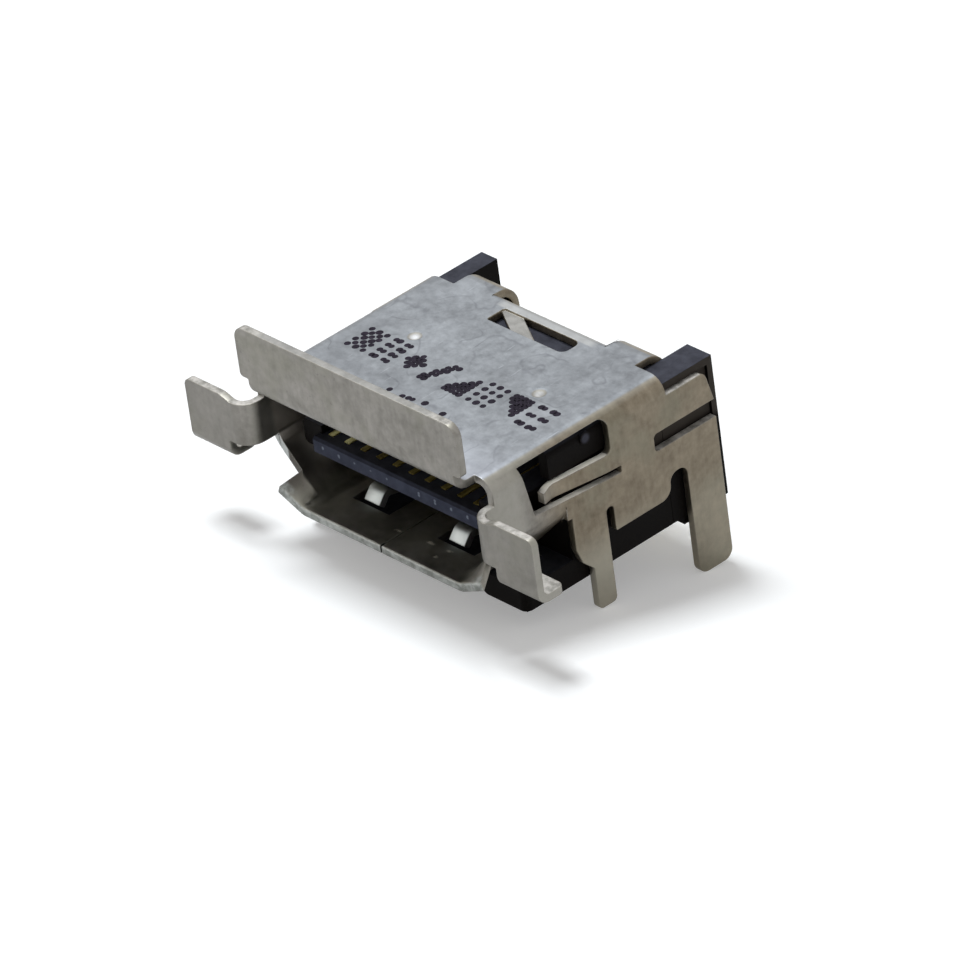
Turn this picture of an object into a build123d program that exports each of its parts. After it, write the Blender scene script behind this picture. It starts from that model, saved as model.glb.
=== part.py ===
from build123d import *
from math import atan2, hypot, tan
import os

# Working frame while modelling, in millimetres: X across the socket, Y from the
# flange's front face into the socket, Z up from the top of the circuit board.
# place() moves every finished piece to the stored frame at the end.

# Stamped sheet and mouth
sheet = 0.38
top_fold = 0.45
shell_top = 7.7
mouth_width = 13.95
mouth_height = 5.35
mouth_straight = 3.0
mouth_fold = 0.8
mouth_bend_reach = 0.5
wall_front = 1.15
mouth_front = 1.65

# Front flange, turned up from the top plate
flange_width = 13.7
flange_rise = 3.05
flange_fold = 0.4
flange_neck_inset = 0.5
flange_neck_rise = 0.55
flange_corner = 0.6
flange_low_corner = 0.2

# Ears, turned outwards from the side walls, each with a foot turned back
ear_span = 21.6
ear_top = 6.7
ear_bottom = 3.5
ear_corner = 0.35
ear_step_inset = 0.595
ear_step_run = 0.6
neck_top = 6.5
neck_bottom = 4.45
neck_fold = 0.5
neck_root = 0.8
foot_inset = 0.945
foot_height = 0.8
foot_reach = 1.5
foot_fold = 0.2

# Lip, the flared front of the mouth's floor
lip_front = 0.72
lip_root_z = 3.09
lip_flat_extra = 0.275
lip_tip_inset = 0.675
lip_tip_z = 2.55

# Springs in the floor
floor_spring_pitch = 5.3
floor_spring_width = 0.95
floor_spring_crest_y = 3.15
floor_spring_rise = 0.75
floor_spring_dip = 0.6
floor_spring_root = 0.8
floor_spring_fold = 0.15
floor_window_width = 2.3
floor_window_front = 2.6
floor_window_back = 7.4
floor_back = 8.4
seam_width = 0.05

# Windows in the side walls, each with a spring finger
side_window_front_top = 2.78
side_window_front_low = 3.25
side_window_back = 7.75
side_window_top = 7.45
side_window_top_left = 7.62
side_window_depth = 0.475
side_window_corner = 0.4
side_window_low_corner = 0.3
side_slot_front_low = 4.95
side_slot_low = 4.55
side_slot_back = 8.2
side_slot_corner = 0.1
side_spring_top = 5.75
side_spring_low = 4.86
side_spring_root_y = 7.3
side_spring_crest_y = 4.5
side_spring_crest_low = 5.1
side_spring_tip_y = 3.85
side_spring_tip_top = 5.7
side_spring_tip_low = 5.2
side_spring_bow = 0.25
side_spring_curl = 0.25

# Side plates and their solder legs
relief_front = 4.95
relief_top = 3.8
plate_low = 2.02
plate_back = 13.7
plate_lean = 0.24
plate_corner = 0.4
leg_front_y = 5.2
leg_front_slope_y = 5.47
leg_front_step_y = 6.03
leg_front_back_y = 7.07
leg_front_drop = 1.2
leg_front_shoulder = 2.2
leg_front_knee = 1.45
leg_front_step = 0.9
leg_front_corner = 0.25
leg_slot_back_y = 7.5
leg_slot_top = 3.3
leg_slot_corner = 0.2
notch_width = 1.0
notch_top = 3.1
notch_corner = 0.45
notch_entry = 0.6
leg_rear_width = 1.95
leg_rear_drop = 2.5
leg_rear_corner = 0.5
rear_slot_length = 3.55
rear_slot_low = 4.52
rear_slot_top = 5.36
rear_slot_corner = 0.2

# Back of the top plate
top_back_inset = 2.6
strap_inner_x = 3.5
strap_outer_x = 5.6
strap_inset = 0.87
strap_fold = 0.7
strap_low = 5.5
strap_corner = 0.35
strip_inset = 1.95
strip_low = 7.0
strip_fold = 0.05
top_window_left = -2.3
top_window_right = 2.4
top_window_depth = 1.05
top_window_margin = 0.1
top_window_corner = 0.12
top_window_round = 0.35
bar_width = 1.48
bar_sink = 0.1
bar_back_x = -2.6
bar_front_x = -0.8
dimple_x = 3.85
dimple_y = 7.2
dimple_radius = 0.42
dimple_depth = 0.12

# Insulator
housing_gap = 0.05
body_front = 8.6
base_front = 2.45
base_low = 0.38
base_corner = 0.35
base_recess_inset = 0.425
base_recess_back = 5.2
base_recess_top = 1.0
pad_width = 0.65
pad_length = 0.8
pad_front_inset = 0.525
pad_front_y = 2.9
pad_rear_inset = 0.025
pad_rear_reach = 2.1
shoulder_top = 5.5
tower_width_left = 0.825
tower_width_right = 1.275
tower_lap = 0.1
tower_cap = 0.3
tower_cap_side = 0.155
tongue_front = 1.95
tongue_top = 4.85
tongue_thick = 0.85
tongue_margin = 0.6
tongue_chamfer = 0.12
shoulder_overlap = 0.2
shoulder_inset = 0.875
shoulder_front = 2.35
shoulder_low = 4.05
shoulder_high = 5.25
shoulder_corner = 0.25
wall_block_front = 5.3
wall_block_gap = 0.1
rib_front = 4.6
rib_low = 5.85
rib_width = 0.525
boss_radius = 0.3
boss_y = 6.75
boss_z = 6.85
boss_rise = 0.08

# Contacts: two rows on the tongue, one row of tails on the board
contact_count = 19
contact_pitch = 0.5
contact_width = 0.3
contact_thick = 0.15
contact_proud = 0.04
contact_tip_y = 2.5
contact_drop_gap = 0.32
contact_tail_reach = 1.2
contact_bend = 0.25
contact_gap = 0.03
aligner_depth = 1.3
aligner_top = 2.3
aligner_low = 0.3

# How far joined pieces reach into one another, and how far cuts reach past what they cut
joint = 0.3
margin = 1.0
far = 20.0

# Derived values: heights, then places across, then places from front to back
top_under = shell_top - sheet
floor_z = top_under - mouth_height
slope_z = top_under - mouth_straight
bend_top = slope_z + mouth_bend_reach
plate_shelf = shell_top - sheet - top_fold
inner_x = mouth_width / 2
wall_x = inner_x + sheet
floor_half = inner_x - (slope_z - floor_z)
lip_half_flat = floor_half + lip_flat_extra
lip_tip_x = inner_x - lip_tip_inset
side_window_inner_x = inner_x - side_window_depth
ear_step_x = wall_x + ear_step_inset
foot_inner_x = wall_x + foot_inset
leg_rear_y = plate_back - leg_rear_width
notch_front_y = leg_rear_y - notch_width
rear_slot_y = plate_back - rear_slot_length
top_back = plate_back - top_back_inset
strap_back = plate_back - strap_inset
strip_back = plate_back - strip_inset
top_window_back = top_back - top_window_margin
top_window_front = top_window_back - top_window_depth
housing_side = inner_x - housing_gap
housing_roof = top_under - housing_gap
housing_wall_y = strap_back - sheet - housing_gap
upper_wall_y = strip_back - sheet - housing_gap
base_recess_x = floor_half - base_recess_inset
pad_front_x = housing_side - pad_front_inset
pad_rear_x = housing_side - pad_rear_inset
pad_rear_y = plate_back - pad_rear_reach
tower_inner_left = housing_side - tower_width_left
tower_inner_right = housing_side - tower_width_right
tower_side = housing_side + tower_cap_side
tower_front = top_back - tower_lap
housing_back = plate_back + housing_gap + tower_cap
rib_inner_x = housing_side - rib_width
tongue_half = (contact_count - 1) / 2 * contact_pitch + tongue_margin
shoulder_inner_x = tongue_half - shoulder_overlap
shoulder_outer_x = inner_x - shoulder_inset
contact_drop_y = strap_back + contact_drop_gap
contact_tail_y = plate_back + contact_tail_reach
overall_depth = contact_tail_y


def block(x0, x1, y0, y1, z0, z1):
    """A box given by its six faces."""
    centre = ((x0 + x1) / 2, (y0 + y1) / 2, (z0 + z1) / 2)
    return Pos(*centre) * Box(x1 - x0, y1 - y0, z1 - z0)


def across(points, x0, x1):
    """A prism along X from a side outline of points (y, z)."""
    face = make_face(Polyline(*[(x0, y, z) for y, z in points], close=True))
    return extrude(face, amount=x1 - x0, dir=(1, 0, 0))


def lengthwise(points, y0, y1):
    """A prism along Y from a front outline of points (x, z)."""
    face = make_face(Polyline(*[(x, y0, z) for x, z in points], close=True))
    return extrude(face, amount=y1 - y0, dir=(0, 1, 0))


def both_sides(piece):
    """A piece and its mirror image in the middle plane."""
    return [piece, mirror(piece, about=Plane.YZ)]


def bent_strip(points, radius, thick, plane):
    """A sheet-thick face along one side's path; every bend has the same inner radius.

    The thickness lies to the right of the direction of travel, or to the left if negative.
    """
    near = []
    far = []

    def add(chain, start, middle, end):
        if middle is None:
            chain.append(Line(plane(*start), plane(*end)))
        else:
            chain.append(ThreePointArc(plane(*start), plane(*middle), plane(*end)))

    def normal(a, b):
        size = hypot(b[0] - a[0], b[1] - a[1])
        return ((a[1] - b[1]) / size, (b[0] - a[0]) / size)

    first = normal(points[0], points[1])
    here = points[0]
    there = (here[0] - first[0] * thick, here[1] - first[1] * thick)
    start_cap = (here, there)
    for before, corner, after in zip(points, points[1:], points[2:]):
        n1 = normal(before, corner)
        n2 = normal(corner, after)
        cross = n1[0] * n2[1] - n1[1] * n2[0]
        side = 1 if cross > 0 else -1
        turn = atan2(abs(cross), n1[0] * n2[0] + n1[1] * n2[1])
        near_radius = radius if side * thick > 0 else radius + abs(thick)
        far_radius = near_radius + side * thick
        length = near_radius * tan(turn / 2)
        t1 = (corner[0] - n1[1] * length, corner[1] + n1[0] * length)
        t2 = (corner[0] + n2[1] * length, corner[1] - n2[0] * length)
        centre = (t1[0] + side * n1[0] * near_radius, t1[1] + side * n1[1] * near_radius)
        away = hypot(corner[0] - centre[0], corner[1] - centre[1])
        ray = ((corner[0] - centre[0]) / away, (corner[1] - centre[1]) / away)
        middle = (centre[0] + ray[0] * near_radius, centre[1] + ray[1] * near_radius)
        far_middle = (centre[0] + ray[0] * far_radius, centre[1] + ray[1] * far_radius)
        f1 = (t1[0] - n1[0] * thick, t1[1] - n1[1] * thick)
        f2 = (t2[0] - n2[0] * thick, t2[1] - n2[1] * thick)
        add(near, here, None, t1)
        add(near, t1, middle, t2)
        add(far, there, None, f1)
        add(far, f1, far_middle, f2)
        here, there = t2, f2
    last = normal(points[-2], points[-1])
    end = points[-1]
    far_end = (end[0] - last[0] * thick, end[1] - last[1] * thick)
    add(near, here, None, end)
    add(far, there, None, far_end)
    caps = [Line(plane(*start_cap[0]), plane(*start_cap[1])), Line(plane(*end), plane(*far_end))]
    return Face(Wire(near + far + caps))


def leaning_back(z):
    """Rear edge of the side plate above its slot, which leans forward."""
    return plate_back - plate_lean * (z - rear_slot_top)


def side_outline():
    """Side view of a side plate, with its legs, as points (y, z)."""
    return [
        (wall_front, shell_top),
        (wall_front, bend_top - seam_width),
        (relief_front, bend_top - seam_width),
        (relief_front, relief_top),
        (leg_front_y, relief_top),
        (leg_front_y, leg_front_shoulder),
        (leg_front_slope_y, leg_front_knee),
        (leg_front_step_y, leg_front_step),
        (leg_front_step_y, -leg_front_drop),
        (leg_front_back_y, -leg_front_drop),
        (leg_front_back_y, leg_slot_top),
        (leg_slot_back_y, leg_slot_top),
        (leg_slot_back_y, plate_low),
        (notch_front_y, plate_low),
        (notch_front_y, notch_top),
        (leg_rear_y, notch_top),
        (leg_rear_y, -leg_rear_drop),
        (plate_back, -leg_rear_drop),
        (plate_back, rear_slot_top),
        (leaning_back(shell_top), shell_top),
    ]


def round_corners(solid, along, corners, radius):
    """Rounds the edges along one axis that pass through given points of the other two."""
    axis = {"X": Axis.X, "Y": Axis.Y, "Z": Axis.Z}[along]
    for corner in corners:
        picked = []
        for edge in solid.edges().filter_by(axis):
            middle = edge.center()
            point = [getattr(middle, name) for name in "XYZ" if name != along]
            if hypot(point[0] - corner[0], point[1] - corner[1]) < 0.03:
                picked.append(edge)
        solid = fillet(picked, radius)
    return solid


def make_hood():
    """Top plate and side plates: an inverted trough, trimmed to its side view."""
    outer = RectangleRounded(2 * wall_x, 2 * (shell_top + leg_rear_drop), sheet + top_fold)
    inner = RectangleRounded(2 * inner_x, 2 * (top_under + leg_rear_drop), top_fold)
    low = Pos(0, -leg_rear_drop)
    section = (low * outer) - (low * inner)
    below = Pos(0, -leg_rear_drop - far) * Rectangle(2 * far, 2 * far)
    section = section - below
    trough = extrude(Plane.XZ.offset(-wall_front) * section, amount=-(plate_back - wall_front))
    blank = across(side_outline(), -wall_x - margin, wall_x + margin)
    front_tips = [(leg_front_step_y, -leg_front_drop), (leg_front_back_y, -leg_front_drop)]
    blank = round_corners(blank, "X", front_tips, leg_front_corner)
    rear_tips = [(leg_rear_y, -leg_rear_drop), (plate_back, -leg_rear_drop)]
    blank = round_corners(blank, "X", rear_tips, leg_rear_corner)
    blank = round_corners(blank, "X", [(notch_front_y, plate_low)], notch_entry)
    notch_ends = [(notch_front_y, notch_top), (leg_rear_y, notch_top)]
    blank = round_corners(blank, "X", notch_ends, notch_corner)
    slot_ends = [(leg_front_back_y, leg_slot_top), (leg_slot_back_y, leg_slot_top)]
    blank = round_corners(blank, "X", slot_ends, leg_slot_corner)
    hood = trough & blank
    hood -= block(-far, far, top_back, far, plate_shelf, far)
    return round_corners(hood, "X", [(leaning_back(plate_shelf), plate_shelf)], plate_corner)


def make_mouth():
    """Sloping lower walls and floor of the mouth, folded in from the sides."""
    inner = [
        (-inner_x, top_under), (-inner_x, slope_z), (-floor_half, floor_z),
        (floor_half, floor_z), (inner_x, slope_z), (inner_x, top_under),
    ]
    section = bent_strip(inner, mouth_fold, sheet, lambda x, z: (x, mouth_front, z))
    ring = extrude(section, amount=relief_front - mouth_front, dir=(0, 1, 0))
    ring -= block(-far, far, 0, far, bend_top, far)
    floor = block(-floor_half, floor_half, relief_front - joint, floor_back, floor_z - sheet, floor_z)
    return [ring, floor]


def make_lip():
    """Flared front of the floor, drawn out towards its corners."""
    root_x = floor_half + (lip_root_z - floor_z)
    back = [
        (-root_x, lip_root_z), (-floor_half, floor_z),
        (floor_half, floor_z), (root_x, lip_root_z),
    ]
    front = [
        (-lip_tip_x, lip_tip_z), (-lip_half_flat, floor_z),
        (lip_half_flat, floor_z), (lip_tip_x, lip_tip_z),
    ]
    back_face = bent_strip(back, mouth_fold, sheet, lambda x, z: (x, mouth_front, z))
    front_face = bent_strip(front, mouth_fold, sheet, lambda x, z: (x, lip_front, z))
    return loft([back_face, front_face], ruled=True)


def make_flange():
    """Front of the top plate, turned straight up."""
    plate_top = shell_top + flange_rise
    plate_low = shell_top + flange_neck_rise
    path = [(0, plate_top), (0, top_under), (wall_front + joint, top_under)]
    half = flange_width / 2
    neck_half = half - flange_neck_inset
    section = bent_strip(path, flange_fold, -sheet, lambda y, z: (-neck_half, y, z))
    neck = extrude(section, amount=2 * neck_half, dir=(1, 0, 0))
    plate = block(-half, half, 0, sheet, plate_low, plate_top)
    plate = round_corners(plate, "Y", [(-half, plate_top), (half, plate_top)], flange_corner)
    plate = round_corners(plate, "Y", [(-half, plate_low), (half, plate_low)], flange_low_corner)
    neck -= block(-far, far, -margin, far, plate_low + flange_low_corner, plate_top + margin)
    return [neck, plate]


def make_ear():
    """Right-hand ear: neck and plate in one strip, with a foot turned back below the plate."""
    outer_x = ear_span / 2
    path = [(inner_x, wall_front + neck_root), (inner_x, 0), (outer_x, 0)]
    section = bent_strip(path, neck_fold, -sheet, lambda x, y: (x, y, ear_bottom))
    strip = extrude(section, amount=ear_top - ear_bottom, dir=(0, 0, 1))
    foot_top = ear_bottom + foot_height
    step_end = ear_step_x + ear_step_run
    outline = lengthwise([
        (inner_x - margin, neck_top), (ear_step_x, neck_top), (step_end, ear_top),
        (outer_x, ear_top), (outer_x, foot_top), (foot_inner_x, foot_top),
        (foot_inner_x, neck_bottom), (inner_x - margin, neck_bottom),
    ], -margin, wall_front + margin)
    outline = round_corners(outline, "Y", [(ear_step_x, neck_top), (step_end, ear_top)], ear_step_run)
    outline = round_corners(outline, "Y", [(outer_x, ear_top)], ear_corner)
    foot_path = [(0, foot_top), (0, ear_bottom), (foot_reach, ear_bottom)]
    foot_section = bent_strip(foot_path, foot_fold, -sheet, lambda y, z: (foot_inner_x, y, z))
    foot = extrude(foot_section, amount=outer_x - foot_inner_x, dir=(1, 0, 0))
    back_corners = [(foot_inner_x, foot_reach), (outer_x, foot_reach)]
    foot = round_corners(foot, "Z", back_corners, ear_corner)
    return [strip & outline, foot]


def make_straps():
    """Tabs of the top plate that fold down over the insulator's back."""
    path = [(top_back - joint, shell_top), (strap_back, shell_top), (strap_back, strap_low)]
    section = bent_strip(path, strap_fold, sheet, lambda y, z: (strap_inner_x, y, z))
    strap = extrude(section, amount=strap_outer_x - strap_inner_x, dir=(1, 0, 0))
    low_ends = [(strap_inner_x, strap_low), (strap_outer_x, strap_low)]
    strap = round_corners(strap, "Y", low_ends, strap_corner)
    strip_path = [(top_back - joint, shell_top), (strip_back, shell_top), (strip_back, strip_low)]
    strip_section = bent_strip(strip_path, strip_fold, sheet, lambda y, z: (-strap_inner_x, y, z))
    strip = extrude(strip_section, amount=2 * strap_inner_x, dir=(1, 0, 0))
    return both_sides(strap) + [strip]


def make_floor_spring():
    """Finger of the floor, rising to a crest and dipping again at its tip."""
    crest = floor_z + floor_spring_rise
    tip_y = floor_window_front + seam_width
    path = [
        (floor_window_back + joint, floor_z), (floor_window_back - floor_spring_root, floor_z),
        (floor_spring_crest_y, crest), (tip_y, crest - floor_spring_dip),
    ]
    half = floor_spring_width / 2
    section = bent_strip(path, floor_spring_fold, -sheet, lambda y, z: (-half, y, z))
    return extrude(section, amount=2 * half, dir=(1, 0, 0))


def make_side_spring():
    """Right-hand side finger: it bows a little into the mouth, its tip turned out again."""
    crest_x = wall_x - side_spring_bow
    path = [
        (wall_x, side_slot_back + joint), (wall_x, side_spring_root_y),
        (crest_x, side_spring_crest_y), (crest_x + side_spring_curl, side_spring_tip_y),
    ]
    section = bent_strip(path, mouth_fold, sheet, lambda x, y: (x, y, side_spring_low))
    blade = extrude(section, amount=side_spring_top - side_spring_low, dir=(0, 0, 1))
    outline = [
        (side_slot_back + joint, side_spring_low), (side_slot_back + joint, side_spring_top),
        (side_spring_crest_y, side_spring_top), (side_spring_tip_y, side_spring_tip_top),
        (side_spring_tip_y, side_spring_tip_low), (side_spring_crest_y, side_spring_crest_low),
    ]
    return blade & across(outline, 0, far)


def side_window(top):
    """Right-hand side window up to a given height, with the slot under its finger."""
    outline = [
        (side_window_front_top, top), (side_window_back, top),
        (side_window_back, side_spring_top), (side_spring_root_y + side_slot_corner, side_spring_top),
        (side_slot_back, side_spring_low), (side_slot_back, side_slot_low),
        (side_window_front_low, side_slot_front_low),
    ]
    opening = across(outline, side_window_inner_x, far)
    opening = round_corners(opening, "X", [(side_window_back, top)], side_window_corner)
    low_end = [(side_window_back, side_spring_top)]
    opening = round_corners(opening, "X", low_end, side_window_low_corner)
    slot_end = [(side_slot_back, side_spring_low), (side_slot_back, side_slot_low)]
    return round_corners(opening, "X", slot_end, side_slot_corner)


def side_openings():
    """Holes through both side plates."""
    left = mirror(side_window(side_window_top_left), about=Plane.YZ)
    rear = block(-far, far, rear_slot_y, far, rear_slot_low, rear_slot_top)
    rear_ends = [(rear_slot_y, rear_slot_low), (rear_slot_y, rear_slot_top)]
    rear = round_corners(rear, "X", rear_ends, rear_slot_corner)
    return [side_window(side_window_top), left, rear]


def top_window():
    """Window near the back of the top plate."""
    front, back = top_window_front, top_window_back
    window = block(top_window_left, top_window_right, front, back, top_under - joint, shell_top + joint)
    left_ends = [(top_window_left, front), (top_window_left, back)]
    window = round_corners(window, "Z", left_ends, top_window_corner)
    right_ends = [(top_window_right, front), (top_window_right, back)]
    return round_corners(window, "Z", right_ends, top_window_round)


def window_bar():
    """Slanting bar across the window, pressed a little below the top plate's face."""
    slant = (bar_back_x - bar_front_x) / (top_window_back - top_window_front)
    front = top_window_front - seam_width
    back = top_window_back + seam_width
    corners = []
    for y, side in ((back, 0), (back, bar_width), (front, bar_width), (front, 0)):
        corners.append((bar_front_x + slant * (y - top_window_front) + side, y, top_under))
    outline = make_face(Polyline(*corners, close=True))
    return extrude(outline, amount=sheet - bar_sink, dir=(0, 0, 1))


def make_shell():
    """The whole shell, one stamped and folded sheet."""
    shell = make_hood()
    for piece in make_mouth() + [make_lip()] + make_flange() + make_straps():
        shell += piece
    for piece in make_ear():
        for copy in both_sides(piece):
            shell += copy
    for cut in side_openings():
        shell -= cut
    shell = (shell - top_window()) + window_bar()
    for x in (-dimple_x, dimple_x):
        hollow, bulge = dimple(x)
        shell = (shell + bulge) - hollow
    low, high = floor_z - margin, floor_z + joint
    half = floor_window_width / 2
    for x in (-floor_spring_pitch / 2, floor_spring_pitch / 2):
        shell -= block(x - half, x + half, floor_window_front, floor_window_back, low, high)
        shell += Pos(x, 0, 0) * make_floor_spring()
    for finger in both_sides(make_side_spring()):
        shell += finger
    half = seam_width / 2
    return shell - block(-half, half, lip_front - joint, floor_back + joint, low, high)


def dimple(x):
    """Round dimple pressed down into the top plate: the hollow and the bulge below it."""
    radius = (dimple_radius**2 + dimple_depth**2) / (2 * dimple_depth)
    ball = Pos(x, dimple_y, shell_top + radius - dimple_depth) * Sphere(radius)
    bulge = Pos(x, dimple_y, top_under + radius - dimple_depth) * Sphere(radius)
    front, back = dimple_y - margin, dimple_y + margin
    slab = block(x - margin, x + margin, front, back, top_under - sheet, top_under + dimple_depth)
    return ball, (bulge & slab)


def contact_x(i):
    """Place of contact i across the socket."""
    return (i - (contact_count - 1) / 2) * contact_pitch


def contact_level(i):
    """Upper face of contact i where it lies along the tongue."""
    if i % 2 == 0:
        return tongue_top + contact_proud
    return tongue_top - tongue_thick - contact_proud + contact_thick


def contact_section(i, grow):
    """Side outline of contact i, made larger all round by a clearance."""
    level = contact_level(i)
    low = contact_thick
    path = [
        (contact_tip_y - grow, level + grow), (contact_drop_y + grow, level + grow),
        (contact_drop_y + grow, low + grow), (contact_tail_y + grow, low + grow),
    ]
    return bent_strip(path, contact_bend, contact_thick + 2 * grow, lambda y, z: (0, y, z))


def make_contact(i, grow=0.0):
    """Contact i: a flat strip along the tongue, bent down and out to its tail."""
    half = contact_width / 2 + grow
    strip = extrude(contact_section(i, grow), amount=2 * half, dir=(1, 0, 0))
    return Pos(contact_x(i) - half, 0, 0) * strip


def make_tongue():
    """Tongue between the contact rows, with a raised shoulder at each end."""
    back = body_front + joint
    low = tongue_top - tongue_thick
    tongue = block(-tongue_half, tongue_half, tongue_front, back, low, tongue_top)
    nose = [e for e in tongue.edges().filter_by(Axis.X) if e.center().Y < tongue_front + 0.01]
    tongue = chamfer(nose, tongue_chamfer)
    shoulder = block(shoulder_inner_x, shoulder_outer_x, shoulder_front, back, shoulder_low, shoulder_high)
    outer_edges = [(shoulder_outer_x, shoulder_low), (shoulder_outer_x, shoulder_high)]
    shoulder = round_corners(shoulder, "Y", outer_edges, shoulder_corner)
    for copy in both_sides(shoulder):
        tongue += copy
    return tongue


def make_body():
    """Body of the insulator: full height in front, lower behind, backed up under the straps."""
    upper = block(-housing_side, housing_side, body_front, upper_wall_y, base_low, housing_roof)
    body = round_corners(upper, "X", [(upper_wall_y, housing_roof)], strip_fold)
    lower_half = tower_inner_right
    body += block(-lower_half, lower_half, body_front, housing_wall_y, base_low, shoulder_top)
    rest = block(strap_inner_x, strap_outer_x, body_front, housing_wall_y, base_low, housing_roof)
    rest = round_corners(rest, "X", [(housing_wall_y, housing_roof)], strap_fold)
    for copy in both_sides(rest):
        body += copy
    side_edges = [(-housing_side, housing_roof), (housing_side, housing_roof)]
    return round_corners(body, "Y", side_edges, top_fold)


def make_side_rib():
    """Right-hand guide rib in the mouth's upper corner, with a round boss on its flank."""
    rib = block(rib_inner_x, housing_side, rib_front, body_front + joint, rib_low, housing_roof)
    rib = round_corners(rib, "Y", [(housing_side, housing_roof)], top_fold)
    boss = Pos(housing_side, boss_y, boss_z) * Rot(0, 90, 0) * Cylinder(boss_radius, 2 * boss_rise)
    return rib + boss


def make_wall_block():
    """Right-hand lower side wall, whose sloping flank carries on the mouth's outline."""
    base = base_low + joint
    outline = [
        (floor_half + wall_block_gap, base), (floor_half + wall_block_gap, floor_z),
        (housing_side, slope_z - wall_block_gap), (housing_side, base),
    ]
    return lengthwise(outline, wall_block_front, body_front + joint)


def make_base():
    """Base plate under the shell's floor, on four pads, thinner in the middle of its front."""
    base_top = floor_z - sheet - housing_gap
    side = housing_side
    base = block(-side, side, base_front, body_front + joint, base_low, base_top)
    base = round_corners(base, "Z", [(-side, base_front), (side, base_front)], base_corner)
    recess = base_recess_x
    base -= block(-recess, recess, base_front - margin, base_recess_back, base_low - margin, base_recess_top)
    base = round_corners(base, "Y", [(-recess, base_low), (recess, base_low)], base_corner)
    for x, y in ((pad_front_x, pad_front_y), (pad_rear_x, pad_rear_y)):
        for pad in both_sides(block(x - pad_width, x, y, y + pad_length, 0, base_low + joint)):
            base += pad
    return base


def make_tower(inner):
    """Right-hand corner tower from a given inner side, capped behind the side plate."""
    shelf = plate_shelf + housing_gap
    tower = block(inner, housing_side, tower_front, housing_back, base_low, shelf)
    cap_front = plate_back + housing_gap
    tower += block(inner, tower_side, cap_front, housing_back, base_low, housing_roof)
    return tower + block(inner, tower_side, top_back + housing_gap, housing_back, shelf, housing_roof)


def make_housing():
    """Black insulator: base on four pads, body, ribs, corner towers and the tongue."""
    housing = make_body() + make_tongue() + make_tower(tower_inner_right)
    housing += mirror(make_tower(tower_inner_left), about=Plane.YZ)
    housing += make_base()
    for piece in both_sides(make_side_rib()) + both_sides(make_wall_block()):
        housing += piece
    for i in range(contact_count):
        housing -= make_contact(i, contact_gap)
    return housing


def make_aligner():
    """Comb behind the body that spaces the contacts where they drop to the board."""
    half = tower_inner_right - housing_gap
    front = housing_wall_y + housing_gap
    comb = block(-half, half, front, housing_wall_y + aligner_depth, aligner_low, aligner_top)
    for i in range(contact_count):
        comb -= make_contact(i, contact_gap)
    return comb


def place(solid):
    """Moves a piece to the stored frame: lowest leg tips at Z 0, depth centred on Y 0."""
    return Pos(0, -overall_depth / 2, leg_rear_drop) * solid


os.makedirs("parts", exist_ok=True)
pieces = {"shell": make_shell(), "housing": make_housing(), "tail_aligner": make_aligner()}
for i in range(contact_count):
    pieces[f"contact_{i + 1:02d}"] = make_contact(i)
for name, solid in pieces.items():
    export_step(place(solid), f"parts/{name}.step")
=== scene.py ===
import math
import random

import bpy
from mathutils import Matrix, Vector


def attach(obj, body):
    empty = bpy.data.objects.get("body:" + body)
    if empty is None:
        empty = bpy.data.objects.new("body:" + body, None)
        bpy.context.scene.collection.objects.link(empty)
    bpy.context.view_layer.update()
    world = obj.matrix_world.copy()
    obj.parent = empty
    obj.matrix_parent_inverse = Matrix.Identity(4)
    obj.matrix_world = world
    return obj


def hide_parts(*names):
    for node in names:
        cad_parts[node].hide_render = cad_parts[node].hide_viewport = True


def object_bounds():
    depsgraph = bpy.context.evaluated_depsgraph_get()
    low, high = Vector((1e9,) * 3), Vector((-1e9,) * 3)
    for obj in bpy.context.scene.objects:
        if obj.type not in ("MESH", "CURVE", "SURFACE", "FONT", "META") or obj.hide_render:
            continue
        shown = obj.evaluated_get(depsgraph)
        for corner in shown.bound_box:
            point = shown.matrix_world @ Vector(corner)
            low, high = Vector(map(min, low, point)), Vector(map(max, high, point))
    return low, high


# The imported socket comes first: its CAD nodes keep their shape and place, and all that
# follows is set on them or around them. Its box is noted before anything is added.
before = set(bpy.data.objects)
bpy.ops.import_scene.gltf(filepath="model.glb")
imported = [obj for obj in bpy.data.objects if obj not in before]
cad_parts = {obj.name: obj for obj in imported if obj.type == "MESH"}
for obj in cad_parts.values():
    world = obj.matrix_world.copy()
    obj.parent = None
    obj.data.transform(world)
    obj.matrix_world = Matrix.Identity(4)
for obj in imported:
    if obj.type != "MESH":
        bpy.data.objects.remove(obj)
cad_low, cad_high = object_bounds()
scene = bpy.context.scene
scene.view_settings.view_transform = "Standard"
MM = 0.001


# Camera at the photograph's place: a long lens, above and to the right of the mouth,
# turned a little because the socket lies nose-down on its legs.
camera_place = (0.265168, -0.214102, 0.216543)
camera_turn = (math.radians(57.8412), math.radians(6.8340), math.radians(46.9259))
camera_lens = 355.78
camera_sensor = 36
nearest_seen = 0.01
farthest_seen = 20
bpy.ops.object.camera_add(location=camera_place, rotation=camera_turn)
camera = bpy.context.object
camera.data.lens = camera_lens
camera.data.sensor_width = camera_sensor
camera.data.clip_start = nearest_seen
camera.data.clip_end = farthest_seen
scene.camera = camera


# Table and room: a wide pale floor under the four leg tips, tilted as the socket lies
# on it, and a white room all round. Both look white to the camera and to the metal.
floor_size = 4
floor_tilt = math.radians(12)
rear_leg_y = 4.8 * MM
paper_tone = (0.8, 0.8, 0.8, 1)
white = (1, 1, 1, 1)
floor_glow = 0.30
room_as_light = 0.3
room_as_seen = 1.0
bpy.ops.mesh.primitive_plane_add(
    size=floor_size, location=(0, rear_leg_y, 0), rotation=(-floor_tilt, 0, 0))
floor = bpy.context.object
floor.name = "floor"


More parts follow.
